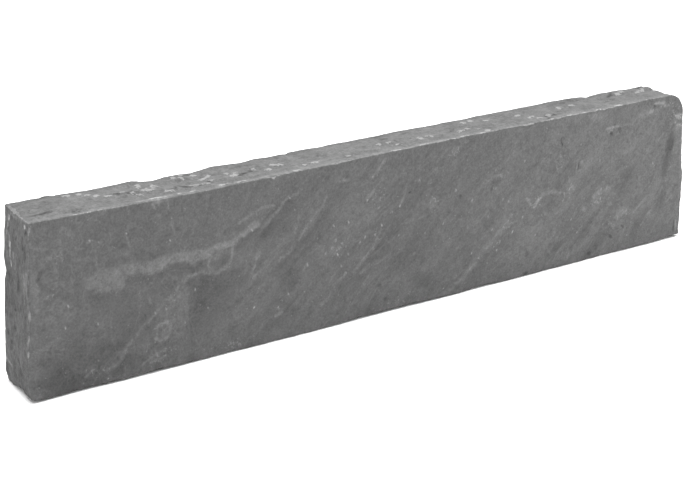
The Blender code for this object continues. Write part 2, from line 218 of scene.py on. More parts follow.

# Patches on the front, as (how much paler, x, z, half length, half height, turn in degrees).
# Besides the stone's own tones they hold painted light and shade: broad patches make the front
# darker on the left and paler on the right as painted light, the dark patches on the pits are
# painted shade in them, and three dark patches by the right end are a painted shadow
FRONT_PATCHES_AND_PAINTED_LIGHT = (
    (0.14, -497, 124, 8, 46, 0), (-0.12, -200, 133, 9, 7, 0), (0.12, -322, 66, 30, 46, -30),
    (-0.10, -272, 76, 40, 40, 0), (0.24, -266, 119, 8, 6, 0), (-0.13, -257, 112, 8, 6, 0),
    # (-0.17, -448, 26) here and (-0.05, -380, 100) on the next line are painted shade that darkens the
    # left of the front
    (-0.16, -432, 112, 9, 5, 0), (-0.11, -390, 158, 14, 10, -20), (-0.17, -448, 26, 90, 56, 0),
    (-0.10, -470, 14, 50, 28, 0), (-0.05, -380, 100, 150, 140, 0), (-0.10, -380, 20, 40, 20, 0),
    (-0.13, -288, 197, 7, 3, 0), (0.30, -342, 199, 9, 4, 0), (0.12, -210, 110, 13, 9, 30),
    (-0.14, -165, 72, 22, 18, 40), (-0.12, -110, 187, 7, 4, 20), (-0.13, -157, 182, 6, 4, 0),
    (-0.24, -30, 37, 6, 4, 0), (-0.24, -20, 17, 4, 4, 0), (0.12, 86, 185, 20, 14, 30),
    (0.36, 108, 198, 7, 3, 0), (0.14, 58, 168, 8, 8, 0), (-0.40, 17, 148, 4, 3, 0),
    (-0.35, 99, 129, 4, 4, 0), (-0.48, 151, 129, 3, 3, 0), (-0.20, 157, 136, 9, 7, 0),
    # The dark patches on the pits, from (-0.60, 270, 174) to (-0.50, 370, 24), are painted shade in them;
    # so are (-0.12, -200, 133) and (-0.11, -390, 158) above
    (-0.14, 41, 30, 34, 16, -20), (-0.60, 270, 174, 2.4, 6, 0), (-0.55, 272, 168, 2.4, 4, 0),
    (-0.55, 303, 134, 2.4, 7, 0), (0.50, 301, 134, 2.4, 4, 0), (0.45, 309, 139, 4, 4, 0),
    (-0.55, 362, 169, 4, 3, 0), (-0.22, 376, 172, 7, 7, 0), (0.40, 375, 168, 3, 3, 0),
    (-0.45, 443, 195, 3, 5, 0), (-0.50, 392, 35, 6, 3, -30), (-0.50, 370, 24, 6, 3, -40),
    (0.14, 428, 188, 28, 9, 0), (0.28, 342, 86, 16, 12, 40), (0.34, 318, 73, 10, 5, 0),
    (0.28, 360, 93, 13, 7, 0), (0.40, 368, 70, 7, 4, -20), (0.30, 390, 56, 22, 9, 25),
    (0.26, 376, 38, 9, 7, 45), (0.20, 346, 6, 20, 5, 0), (0.07, 420, 150, 50, 40, 0),
    # (-0.32, 478, 138) here and (-0.26, 470, 106) and (-0.12, 466, 62) on the next line are a painted
    # shadow by the right end
    (-0.07, 200, 150, 60, 20, 30), (-0.08, 300, 60, 60, 22, 38), (-0.32, 478, 138, 12, 30, -10),
    (-0.26, 470, 106, 10, 26, -14), (-0.12, 466, 62, 12, 34, -20), (-0.14, 322, 42, 42, 12, 42),
    (-0.15, 424, 34, 42, 12, 45), (-0.12, 396, 102, 40, 11, 42), (-0.20, 270, 30, 20, 9, 35),
    (-0.14, 344, 110, 9, 14, 0), (-0.05, 416, 36, 13, 18, 30), (0.28, 464, 195, 16, 4, -10),
    (0.26, 492, 176, 9, 5, 0), (0.8, 492, 171, 4, 1.6, -30), (0.7, 486, 166, 2.4, 2, 0),
    (0.6, 480, 184, 3, 1.8, 20), (0.22, 500, 120, 4, 110, 0), (-0.28, 214, 31, 6, 7, 0),
    (-0.45, 213, 4, 8, 3, 0), (-0.35, 330, 8, 6, 4, 0), (0.26, 178, 76, 12, 7, 30),
    (0.20, 186, 86, 6, 6, 0), (0.16, 167, 70, 14, 6, 30), (0.16, 134, 44, 11, 5, 40),
    (0.12, 114, 27, 9, 4, 40), (0.14, 148, 54, 9, 4, 35), (-0.10, 150, 84, 16, 10, 30),
    (-0.12, 232, 84, 14, 8, 20), (0.16, 56, 125, 10, 14, -10), (0.14, -94, 98, 20, 10, 20),
    (0.14, 212, 16, 5, 16, 0), (0.16, 330, 198, 22, 12, 0), (0.14, 285, 14, 24, 8, 0),
    (0.12, 490, 150, 10, 60, 0), (0.08, -60, 130, 60, 40, 38), (-0.08, 0, 70, 60, 30, 38),
    # (0.15, 360, 110, 380, 260) below is painted light that makes the right of the front paler
    (-0.07, -380, 60, 50, 30, 38), (0.07, 330, 150, 60, 30, 38), (0.15, 360, 110, 380, 260, 0),
)

# Crumbly places on the front, as (how crumbly, x, z, half length, half height, turn in degrees)
FRONT_CRUMBS = (
    (1.0, -92, 96, 26, 16, 20), (0.9, -30, 100, 12, 26, -20), (0.8, -35, 150, 14, 30, -30),
    (1.0, 58, 126, 14, 22, -10), (1.0, 90, 189, 22, 12, 25), (0.8, 32, 160, 14, 8, 0),
    (0.8, 48, 154, 12, 8, 30), (0.8, 230, 98, 26, 14, 10), (0.9, 286, 106, 20, 22, 0),
    (1.0, 345, 82, 30, 16, 20), (0.8, 180, 78, 18, 14, 30), (0.9, 162, 54, 14, 14, 0),
    (0.8, 390, 50, 30, 18, 20), (0.8, -425, 18, 30, 10, 0), (0.9, -342, 18, 30, 12, 20),
    (0.7, -340, 50, 16, 12, 0), (0.7, -330, 84, 22, 12, 30), (0.5, -250, 10, 60, 10, 0),
    (0.6, -20, 8, 60, 8, 0), (0.7, 20, 12, 20, 12, 0), (0.8, 366, 174, 20, 8, 0),
    (0.8, 440, 188, 20, 10, 20), (0.9, 486, 178, 18, 18, 0), (0.7, 270, 145, 14, 24, 0),
    (0.6, -470, 158, 20, 10, 0), (0.6, -475, 116, 20, 14, 0), (0.6, -395, 108, 24, 8, 0),
    (0.5, -170, 44, 20, 12, 0), (0.6, -245, 10, 20, 10, 0), (0.5, 215, 24, 12, 24, 0),
)

# The pale sliver of a layer on the left of the front: its soft upper and its sharp lower edge, as
# (x, z); where it starts, where its dimmer lobe ends and where it ends; over how far each of these
# three and the soft edge fade; and how much paler the sliver and its lobe are
SLIVER_TOP = ((-443, 130), (-417, 138), (-390, 137), (-350, 135), (-327, 138), (-277, 135),
              (-250, 138), (-233, 145), (-216, 153), (-203, 156))
SLIVER_FOOT = ((-443, 117), (-437, 108), (-388, 107), (-383, 120), (-377, 121), (-350, 117),
               (-337, 118), (-330, 125), (-310, 122), (-300, 118), (-275, 122), (-270, 128),
               (-240, 129), (-233, 136), (-214, 141), (-203, 147))
SLIVER_START = -447 * MM
LOBE_END = -410 * MM
SLIVER_END = -203 * MM
START_FADE = 30 * MM
LOBE_FADE = 60 * MM
END_FADE = 6 * MM
SOFT_EDGE = 5 * MM
SLIVER_PALER = 0.33
LOBE_PALER = 0.19

# White specks on the front, as (x, z)
FRONT_SPECKS = (
    (-457, 102), (-422, 73), (-422, 30), (-412, 6), (-428, 170), (-417, 167), (-383, 170),
    (-327, 152), (-307, 185), (-296, 88), (-279, 62), (-311, 52), (-463, 78), (-349, 71),
    (-336, 72), (-217, 143), (-163, 173), (-99, 126), (-77, 128), (-110, 95), (-95, 107),
    (-94, 90), (-87, 73), (-77, 86), (-53, 103), (-60, 99), (-32, 138), (-49, 150), (-42, 177),
    (-10, 127), (-27, 113), (-37, 103), (-157, 157), (-167, 55), (-182, 42), (-132, 37),
    (-216, 48), (-138, 84), (-80, 63), (92, 138), (119, 120), (147, 94), (73, 99), (180, 107),
    (170, 112), (207, 158), (206, 83), (240, 79), (189, 66), (229, 54), (154, 74), (120, 49),
    (131, 41), (146, 31), (163, 46), (43, 89), (1, 95), (2, 133), (243, 194), (157, 152),
    (72, 12), (305, 163), (342, 134), (446, 116), (289, 105), (277, 93), (293, 62), (307, 42),
    (262, 46), (348, 94), (347, 82), (355, 44),
    (474, 196), (478, 194), (481, 190), (485, 189), (488, 191), (492, 188), (496, 172), (493, 174),
    (499, 169), (497, 176), (501, 171),
)
SPECK_PALER = 1.3

# Pale crushed flakes on the top, as (x, y, half length, half width, turn in degrees)
FLAKES = (
    (-418, 28, 9, 7, 0), (-404, 25, 8, 5, 30), (-397, 16, 8, 5, 0), (-391, 8, 8, 5, 20),
    (-378, 1, 12, 6, 15), (-362, 3, 8, 5, 0), (-352, -5, 7, 9, 0), (-334, 14, 5, 15, -25),
    (-336, -3, 12, 6, 20), (-330, -7, 10, 6, 10), (-320, 2, 8, 10, -30), (-351, -18, 12, 6, 30),
    (-317, -23, 8, 5, 0), (-308, -23, 8, 5, 0), (-284, 21, 5, 9, -20), (-277, 14, 5, 8, -20),
    (-271, 24, 7, 5, 0), (-260, 15, 7, 5, 0), (-282, -21, 10, 6, 10), (-266, -23, 11, 6, 20),
    (-257, -4, 15, 6, 30), (-248, 3, 12, 6, 30), (-253, -14, 9, 5, 20), (-226, -2, 7, 7, 0),
    (-221, -12, 11, 6, 30), (-215, -6, 8, 5, 0), (-191, -5, 8, 5, 30), (-177, -16, 11, 6, 30),
    (-160, -2, 7, 9, 0), (-153, -8, 7, 5, 0), (-131, -25, 7, 7, -30), (-118, -23, 7, 5, 0),
    (-110, -22, 9, 5, 20), (-65, -23, 8, 5, 20), (-2, -2, 7, 9, -10), (14, -1, 10, 4, 20),
    (19, -16, 8, 5, -20), (58, -8, 7, 10, -15), (74, -8, 9, 7, 0), (124, -10, 12, 5, 20),
    (135, -7, 10, 6, 20), (154, 20, 7, 9, -20), (166, 23, 10, 7, 35), (152, -16, 10, 5, 0),
    (183, 12, 7, 6, 0), (235, 8, 10, 6, 20), (245, -8, 14, 5, 20), (250, -19, 8, 6, 0),
    (269, -15, 11, 6, 25), (310, 8, 12, 6, 20), (332, 7, 10, 6, 25), (430, 19, 14, 7, 40),
    (444, 26, 8, 7, 30), (461, 10, 12, 6, 15), (471, 12, 10, 6, 10), (480, 20, 11, 6, 40),
    (484, 2, 9, 5, 20), (-436, -43, 22, 4, 0), (-420, -43, 16, 4, 0), (-344, -39, 12, 4, 0),
    (-313, -40, 10, 3, 0), (-296, -41, 8, 3, 0), (-254, -39, 10, 5, 0), (-230, -39, 14, 3, 0),
    (-152, -39, 10, 4, 0), (-4, -36, 14, 3, 0), (42, -34, 14, 3, 0), (86, -35, 14, 3, 0),
    (110, -33, 12, 5, 0), (140, -35, 10, 5, 0), (152, -28, 8, 5, 0), (257, -34, 10, 5, 20),
    (290, -33, 12, 5, 10), (312, -33, 10, 3, 0), (344, -32, 10, 6, 0), (382, -30, 12, 5, 0),
    (373, -35, 8, 3, 30), (440, -30, 12, 3, 0),
)

# Darker places on the top, as (how much paler, x, y, half length, half width, turn in degrees);
# most are painted shade in its pits and in the hollows beside its pale flakes
TOP_PATCHES_AND_PAINTED_SHADE = (
    (-0.08, -465, 12, 56, 36, 0), (-0.15, -470, -18, 18, 5, 0), (-0.20, -441, -32, 7, 5, 0),
    (-0.20, -479, 27, 8, 5, 0), (-0.25, -357, -1, 6, 5, 0), (-0.15, -368, 2, 8, 5, 0),
    (-0.20, -305, -18, 7, 5, 30), (-0.15, -263, 20, 7, 4, 0), (-0.25, -293, -20, 6, 8, 0),
    (-0.20, -259, -17, 8, 4, 20), (-0.10, -236, 3, 14, 6, 0), (-0.20, -213, -13, 8, 5, 30),
    (-0.25, -196, -7, 7, 4, 30), (-0.20, -187, -39, 6, 5, 0), (-0.20, -60, -21, 5, 5, -20),
    (-0.15, 19, 15, 10, 8, 30), (-0.15, 18, 30, 14, 6, 0), (-0.10, 56, 23, 12, 5, 20),
    (-0.10, 109, -6, 7, 5, 20), (-0.15, -14, -34, 8, 6, 0), (-0.15, 78, -22, 22, 10, 0),
    (-0.15, 214, 12, 8, 5, 0), (-0.20, 175, -10, 6, 8, 0), (-0.25, 276, -17, 7, 5, 0),
    (-0.25, 258, -28, 6, 5, 0), (-0.15, 230, -28, 34, 8, 0), (-0.20, 350, 30, 14, 8, 40),
    (-0.20, 417, 18, 16, 12, 30), (-0.15, 426, -12, 10, 7, 0), (-0.20, 481, 28, 10, 5, 40),
    (-0.15, 310, 26, 20, 8, 20), (-0.15, -197, 17, 10, 5, 20), (-0.12, 340, -14, 30, 12, 30),
)

# Bands along the back and the front of the top: how much paler, how far out they start, how they fade in
BACK_BAND = -0.08
FRONT_BAND = 0.14
BAND_START = 26 * MM
BAND_FADE = 8 * MM

# Cracks and painted ledge shadows on the top, and pale lines along its front arris that are worn stone
# with a painted highlight, as (how much paler, half width, points (x, y))
TOP_CRACKS_SHADOWS_AND_HIGHLIGHTS = (
    (-0.60, 3.0, ((-489, -19), (-475, -18), (-460, -16))), (-0.90, 2.8, ((-451, -29), (-435, -32))),
    (-0.45, 2.4, ((-374, 3), (-362, 1), (-355, -3), (-349, 2))),
    (-0.45, 2.4, ((-318, -14), (-306, -19), (-300, -12))),
    (-0.50, 2.4, ((-297, -16), (-288, -23), (-272, -25), (-258, -17))),
    (-0.20, 2.6, ((-246, 4), (-236, 3), (-226, 8))),
    (-0.50, 2.4, ((-217, -14), (-205, -14), (-196, -8), (-188, 0))),
    (-0.40, 2.4, ((-271, 20), (-262, 21))), (-0.45, 2.4, ((-68, -20), (-58, -21))),
    (-0.20, 2.4, ((104, -8), (113, -5))), (-0.45, 2.4, ((262, -16), (279, -18))),
    (-0.40, 2.4, ((254, -30), (262, -26))), (-0.40, 3.0, ((404, 12), (416, 19), (428, 29))),
    (-0.40, 2.4, ((470, 32), (484, 29))), (-0.20, 2.4, ((12, 14), (24, 18))),
    # From (0.40, 2.4, ((-448, -42) on, the pale lines along the front arris are worn stone with a painted
    # highlight
    (-0.15, 2.4, ((46, 19), (62, 25))), (0.40, 2.4, ((-448, -42), (-418, -44))),
    (0.40, 2.4, ((-366, -39), (-330, -39))),
    (0.22, 2.0, ((45, -33), (160, -32), (300, -32), (400, -30), (470, -30))),
    (0.14, 2.0, ((-240, -40), (-150, -38), (-5, -35), (45, -33))),
)

# Lines and patches on the left end, in (y, z). Some are painted light and shade: pale strips along its
# front arris are worn stone with a painted highlight, the pale line along its top edge is painted light
# on the bevel there, two pale patches are painted highlights and one broad patch is painted shade
LEFT_LINES_AND_HIGHLIGHTS = (
    (1.4, 2.2, ((25, 194), (26, 190))), (1.2, 2.0, ((28, 185), (28, 181))),
    (1.4, 2.2, ((29, 177), (30, 174))), (0.8, 2.0, ((21, 173), (20, 169))),
    (2.4, 2.4, ((18, 166), (18, 162))), (1.2, 2.0, ((17, 159), (16, 156))),
    (1.0, 2.0, ((15, 154), (17, 151))), (1.6, 2.2, ((15, 147), (14, 142))),
    (0.8, 2.0, ((8, 158), (7, 153))), (0.5, 2.2, ((37, 29), (27, 27), (15, 26))),
    # The pale line along the top edge, next, is painted light on the bevel there
    (0.3, 3.0, ((-37, 203), (-12, 201), (10, 198), (26, 198))),
    (-0.28, 3.5, ((-23, 182), (-23, 170))), (-0.25, 4.0, ((-6, 150), (-5, 118))),
    # The pale lines from y -27 to y -39 are worn stone along the front arris with a painted highlight
    (0.48, 5.0, ((-34, 144), (-34, 120))), (0.22, 4.0, ((-27, 146), (-27, 118))),
    (0.34, 3.0, ((-38, 118), (-38, 108))), (0.30, 2.6, ((-38, 96), (-38, 83))),
    (0.40, 2.6, ((-39, 76), (-39, 68))), (0.20, 3.0, ((-2, 78), (-2, 68))),
)
LEFT_PATCHES_AND_PAINTED_LIGHT = (
    # (0.7, -41, 101) here and (0.9, -40, 56) on the next line are painted highlights on the front arris
    (1.6, -29, 196, 4, 3, 70), (-0.30, -33, 190, 6, 4, 0), (0.7, -41, 101, 4, 5, 0),
    (0.9, -40, 56, 5, 4, 0), (-0.40, 4, 94, 5, 4, 0), (-0.40, -20, 95, 5, 4, 0),
    (-0.40, 15, 53, 6, 4, 0), (-0.35, 18, 46, 6, 4, 0), (-0.25, 31, 15, 12, 13, 0),
    (-0.20, 17, 194, 10, 4, -20), (0.25, 27, 150, 8, 9, 0), (-0.20, -5, 134, 5, 6, 0),
    (-0.20, -5, 120, 5, 6, 0), (0.14, -24, 132, 12, 18, 0), (-0.15, 24, 110, 20, 50, 0),
    # (-0.15, 0, 100, 90, 190) on this line darkens the whole end: painted shade
    (-0.15, 0, 100, 90, 190, 0), (-0.25, 26, 128, 8, 7, 0), (-0.20, 20, 84, 9, 6, 20),
    (-0.20, 8, 72, 8, 5, -20), (-0.25, -14, 100, 7, 5, 0), (-0.20, -8, 60, 7, 6, 0),
    (-0.20, 26, 62, 8, 6, 0), (-0.20, -18, 30, 9, 6, 30), (0.25, 12, 76, 5, 8, 0),
    (-0.25, -28, 168, 5, 10, 0), (-0.20, 6, 182, 8, 5, 0), (-0.20, -10, 40, 10, 5, 40),
)

# The marks are laid out from this place on the stone, those of the top on a level sheet this high;
# they were read in the photo, so they go from the sheet to the stone along the photo's lines of sight
MARKS_ZERO = (1.6 * MM, 0.0, 0.6 * MM)
MARKS_LEVEL = 203.6 * MM

# How far from an arris the look of one face passes into that of the next
FACE_FADE = 1.0 * MM

# Streaks are faint on the left part of the riven faces: how faint, and where and how far they grow
FAINT_STREAKS = 0.35
STREAKS_START = -340 * MM
STREAKS_GROW = 200 * MM

# Finish of the stone, and how much paler its worn, flaked and crumbled places are
STONE_GREY = 0.0848
STONE_ROUGHNESS = 0.85
WORN_PALER = 0.8
FLAKE_PALER = 0.95
CRUMB_PALER = 0.50

# Camera: where it stands, how it turns, and its lens, from the photo's perspective
CAMERA_PLACE = (-1.3127, -1.6711, 0.7525)
CAMERA_YAW = 0.64559
CAMERA_PITCH = 0.30771
CAMERA_FOCUS = 1786.2          # focal length in the photo's pixels
PHOTO_WIDTH = 686
SENSOR = 36.0

# Light: an even white sky and two soft boxes, as (name, place, aimed at, width, height, watts)
SKY_STRENGTH = 1.02
SOFT_BOXES = (
    ("overhead softbox", (0.0, 0.1, 2.3), (0.0, 0.0, 0.1), 3.0, 2.0, 121.0),
    ("right softbox", (1.5, -1.2, 0.8), (0.4, 0.0, 0.1), 1.0, 0.8, 4.8),
)


def ease(t):
    """Smooth step from 0 to 1."""
    t = np.clip(t, 0.0, 1.0)
    return t * t * (3 - 2 * t)


def blend(low, high, t):
    return low + (high - low) * t


def scatter(i, j, seed):
    """A repeatable number from 0 to 1 for each pair of whole numbers."""
    n = i.astype(np.int64) * 374761393 + j.astype(np.int64) * 668265263 + seed * 69069
    n = (n ^ (n >> 13)) & 0x7FFFFFFF
    n = (n * 1274126177) & 0x7FFFFFFF
    n = n ^ (n >> 16)
    return (n & 0xFFFF) / 65535.0


def swell(u, v, seed):
    """Smooth bumps and dips from about -1 to 1, one to each unit of u and v."""
    i, j = np.floor(u), np.floor(v)
    a, b = u - i, v - j

    def corner(di, dj):
        turn = 2 * math.pi * scatter(i + di, j + dj, seed)
        return np.cos(turn) * (a - di) + np.sin(turn) * (b - dj)

    near = blend(corner(0, 0), corner(1, 0), ease(a))
    far = blend(corner(0, 1), corner(1, 1), ease(a))
    return 1.5 * blend(near, far, ease(b))


def rough(u, v, seed, layers=3):
    """Swells with finer swells on them, each half the size of the one before."""
    total = 0.0
    for k in range(layers):
        total = total + swell(u * 2 ** k, v * 2 ** k, seed + k) / 2 ** k
    return total


def bowls(u, v, seed):
    """Hollows that meet in ridges, as a hammer leaves them: 0 in a hollow, towards 1 on a ridge."""
    i, j = np.floor(u), np.floor(v)
    best = np.full(np.shape(u + v), 1.0)
    for di in (-1, 0, 1):
        for dj in (-1, 0, 1):
            across = u - (i + di + 0.15 + 0.7 * scatter(i + di, j + dj, seed))
            along = v - (j + dj + 0.15 + 0.7 * scatter(i + di, j + dj, seed + 1))
            best = np.minimum(best, across ** 2 + along ** 2)
    return best


def along_edge(place, points):
    """How far an edge stands out at a place along it, through given points in millimetres."""
    places = [p[0] * MM for p in points]
    rises = [p[1] * MM for p in points]
    return np.interp(place, places, rises)


def pits(u, v, holes):
    """Depth of the round pits of a face."""
    depth = 0.0
    for place_u, place_v, radius, deep in holes:
        far = np.hypot(u - place_u * MM, v - place_v * MM) / (radius * MM)
        depth = depth + deep * MM * (1 - ease(far))
    return depth


def riven(x, z, seed):
    """Relief of a riven face: broad waves, slanting streaks, and thin layers broken along curves."""
    along = x * math.cos(STREAK_SLANT) + z * math.sin(STREAK_SLANT)
    across = z * math.cos(STREAK_SLANT) - x * math.sin(STREAK_SLANT)
    waves = WAVE * rough(x / 0.30, z / 0.16, seed, 2)
    streaks = STREAK * rough(along / 0.11, across / 0.024, seed + 10, 3)
    field = 2.5 * rough(along / 0.20, across / 0.07, seed + 20, 3)
    level = np.floor(field)
    layers = LAYER * (level + ease((field - level) / 0.12))
    return waves + streaks + layers


def ledges(run, across, height, seed):
    """Steps from layer to layer of a hewn face, which wander, grow and die out along the run.

    The steps add up to nothing at both sides of the face, so its edges keep their own lines.
    """
    total = 0.0
    climb = 0.0
    for k in range(1, round(THICKNESS / LEDGE_SPACING)):
        wander = LEDGE_WANDER * rough(run / 0.10, 0.37 + 0 * run, seed + k)
        line = k * LEDGE_SPACING - THICKNESS / 2 + wander
        step = height * swell(run / 0.09, 0.61 + 0 * run, seed + 30 + k)
        total = total + step * ease((across - line) / LEDGE_WIDTH + 0.5)
        climb = climb + step
    return total - climb * ease(across / THICKNESS + 0.5)


def hewn(run, across, ledge, seed):
    """Relief of a hewn face: ledges, hammered hollows and a coarse grain."""
    hollows = HOLLOW * (bowls(run / 0.045, across / 0.020, seed + 60) - 0.4)
    grain = 0.5 * MM * rough(run / 0.016, across / 0.009, seed + 70)
    return ledges(run, across, ledge, seed) + hollows + grain


def top_rise(x, y):
    """Height of the hewn top, whose front arris is the straighter one."""
    behind = y / THICKNESS + 0.5
    edges = blend(along_edge(x, TOP_FRONT), along_edge(x, TOP_BACK), behind)
    calm = blend(0.3, 1.0, ease(behind / 0.15)) * blend(1.0, 0.6, ease((behind - 0.85) / 0.15))
    return edges + calm * hewn(x, y, TOP_LEDGE, 100) - pits(x, y, TOP_PITS)


def foot_rise(x, y):
    """Height of the underside: its high spots stand on the ground, the rest is hollow."""
    behind = ease((y / THICKNESS + 0.5) / 0.35)
    rise = blend(along_edge(x, FOOT_FRONT), FOOT_SEAT, behind) - hewn(x, y, FOOT_LEDGE, 200)
    return np.maximum(rise, 0.0)


def front_relief(x, z):
    """How far the front face stands forward."""
    return riven(x, z, 300) - pits(x, z, FRONT_PITS)


def end_relief(y, z, front_edge, back_edge, seed):
    """How far an end stands out between its two upright edges."""
    lean = blend(along_edge(z, front_edge), along_edge(z, back_edge), y / THICKNESS + 0.5)
    return lean + 0.6 * hewn(z, y, END_LEDGE, seed)


def round_corner(x, y, z):
    """Turn the square corner at the top of the right end into a round one."""
    radius = blend(CORNER_FRONT, CORNER_BACK, y / THICKNESS + 0.5)
    out = np.maximum(0.0, x - (LENGTH / 2 - radius))
    up = np.maximum(0.0, z - (HEIGHT - radius))
    far = np.hypot(out, up)
    shrink = np.where(far > 0, np.maximum(out, up) / np.maximum(far, 1e-9), 1.0)
    return x + out * (shrink - 1), z + up * (shrink - 1)


def broken_off(place, edge, seed):
    """Size of the strip broken off an arris, at each place along it."""
    nibbled = np.maximum(0.0, rough(place / ARRIS_NIBBLE, 0.5 + 0 * place, seed, 4))
    size = ARRIS_LEAST + (ARRIS_MOST - ARRIS_LEAST) * nibbled ** 2
    for name, middle, length, deep in CHIPS:
        if name == edge:
            near = 1 - ease(np.abs(place - middle * MM) / (length * MM))
            size = np.maximum(size, deep * MM * near)
    return size


def depths(x, y, z):
    """How deep each point of the plain box lies under each of its sides."""
    return {"left": x + LENGTH / 2, "right": LENGTH / 2 - x, "front": y + THICKNESS / 2,
            "back": THICKNESS / 2 - y, "foot": z, "top": HEIGHT - z}


def shape_stone(box):
    """Move the points of the plain box to the surface of the stone; also say where it is broken."""
    x, y, z = box[:, 0], box[:, 1], box[:, 2]
    right = x / LENGTH + 0.5
    behind = y / THICKNESS + 0.5
    above = z / HEIGHT
    sx, sz = round_corner(x, y, z)
    left_end = end_relief(y, z, LEFT_FRONT, LEFT_BACK, 500)
    right_end = end_relief(y, z, RIGHT_FRONT, RIGHT_BACK, 600)
    sx = sx + blend(-left_end, right_end, right)
    sy = y + blend(-front_relief(x, z), riven(x, z, 400), behind)
    sz = sz + blend(foot_rise(x, y), top_rise(x, y), above)

    depth = depths(x, y, z)
    inward = {"left": (1, 0, 0), "right": (-1, 0, 0), "front": (0, 1, 0),
              "back": (0, -1, 0), "foot": (0, 0, 1), "top": (0, 0, -1)}
    arrises = (("top front", x), ("top back", x), ("foot front", x), ("foot back", x),
               ("left front", z), ("left back", z), ("right front", z), ("right back", z),
               ("left top", y), ("left foot", y), ("right foot", y))
    stone = np.stack((sx, sy, sz), axis=1)
    broken = np.zeros(len(x))
    for number, (edge, place) in enumerate(arrises):
        one, other = edge.split()
        size = broken_off(place, edge, 700 + 10 * number)
        over = np.maximum(0.0, size - depth[one] - depth[other]) / 2
        stone += over[:, None] * (np.array(inward[one]) + np.array(inward[other]))
        broken = np.maximum(broken, ease(over / (0.5 * MM)))
    return stone, broken


def box_cells():
    """A closed box, cut in cells along each axis."""
    mesh = bmesh.new()
    bmesh.ops.create_cube(mesh, size=1.0)
    for axis, cells in enumerate(CELLS):
        edges = [e for e in mesh.edges if abs(e.verts[0].co[axis] - e.verts[1].co[axis]) > 0.5]
        bmesh.ops.subdivide_edges(mesh, edges=edges, cuts=cells - 1, use_grid_fill=True)
    return mesh


def crowd(t, pull):
    """Draw evenly spread values from -0.5 to 0.5 towards both limits."""
    return t + pull * np.sin(2 * math.pi * t) / (2 * math.pi)


def spot(u, v, place_u, place_v, length, width, turn):
    """1 in the middle of a long spot, falling to 0 at its rim."""
    turn = math.radians(turn)
    du, dv = u - place_u * MM, v - place_v * MM
    along = (du * math.cos(turn) + dv * math.sin(turn)) / (length * MM)
    across = (dv * math.cos(turn) - du * math.sin(turn)) / (width * MM)
    return 1 - ease(np.hypot(along, across))


def patches(u, v, spots):
    """How much paler the patches make each point."""
    ragged = 0.45 * rough(u / (8 * MM), v / (8 * MM), 910, 2)
    total = 0.0
    for paler, *place in spots:
        total = total + paler * ease(spot(u, v, *place) * (1 + ragged) / 0.7)
    return total


def reach(u, v, points):
    """How far each point is from a line of points, and which side of it: left is positive."""
    far = np.full(len(u), 1.0)
    side = np.zeros(len(u))
    for (u0, v0), (u1, v1) in zip(points, points[1:]):
        du, dv = u - u0 * MM, v - v0 * MM
        run_u, run_v = (u1 - u0) * MM, (v1 - v0) * MM
        t = np.clip((du * run_u + dv * run_v) / (run_u ** 2 + run_v ** 2), 0, 1)
        away = np.hypot(du - t * run_u, dv - t * run_v)
        side = np.where(away < far, np.sign(run_u * dv - run_v * du), side)
        far = np.minimum(far, away)
    return far, side


def lines(u, v, strokes):
    """How much paler the lines make each point; they come and go along their length."""
    uneven = 1 + 0.6 * rough(u / (14 * MM), v / (14 * MM), 920, 2)
    total = 0.0
    for paler, half_width, points in strokes:
        far, _ = reach(u, v, points)
        total = total + paler * (1 - ease((far / (half_width * MM) - LINE_CORE) / (1 - LINE_CORE)))
    return total * uneven


def steps(u, v, strokes):
    """How much paler it is beside the edges of thin layers: most at the edge, then fading."""
    ripple = 1.2 * MM * rough(u / (12 * MM), v / (12 * MM), 925, 2)
    total = 0.0
    for paler, width, points in strokes:
        far, side = reach(u, v, points)
        beside = side * far + ripple
        fade = 1 - ease(far / (width * MM))
        total = total + paler * ease(beside / SHARP_EDGE) * fade
    return total


def sliver(x, z):
    """How much paler the sliver of a layer is: soft above and sharp below."""
    ripple = 1.2 * MM * rough(x / (15 * MM), 0.3 + 0 * x, 930, 3)
    under = ease((along_edge(x, SLIVER_TOP) + ripple - z) / SOFT_EDGE)
    over = ease((z - along_edge(x, SLIVER_FOOT) - ripple) / SHARP_EDGE)
    ends = ease((x - SLIVER_START) / START_FADE) * ease((SLIVER_END - x) / END_FADE)
    paler = blend(LOBE_PALER, SLIVER_PALER, ease((x - LOBE_END) / LOBE_FADE))
    return paler * under * over * ends


def specks(x, z, front):
    """How much paler the white specks are, one point of the skin each: every third is the brightest."""
    total = np.zeros(len(x))
    on_front = np.flatnonzero(front > 0.99)
    for number, (place_x, place_z) in enumerate(FRONT_SPECKS):
        far = np.hypot(x[on_front] - place_x * MM, z[on_front] - place_z * MM)
        total[on_front[np.argmin(far)]] = SPECK_PALER / (1 + number % 3 / 2)
    return total


def flaked(x, y):
    """1 where the top is crushed to pale flakes."""
    ragged = rough(x / (6 * MM), y / (5 * MM), 900, 2)
    total = np.zeros(len(x))
    for flake in FLAKES:
        total = np.maximum(total, spot(x, y, *flake))
    return ease((total * (1 + 0.5 * ragged) - 0.1) / 0.5)


def on_level(stone):
    """Where the points of the top show on the level sheet, seen from the camera's place."""
    eye = np.array(CAMERA_PLACE)
    share = (MARKS_LEVEL - eye[2]) / (stone[:, 2] - eye[2])
    shown = eye + (stone - eye) * share[:, None] - np.array(MARKS_ZERO)
    return shown[:, 0], shown[:, 1]


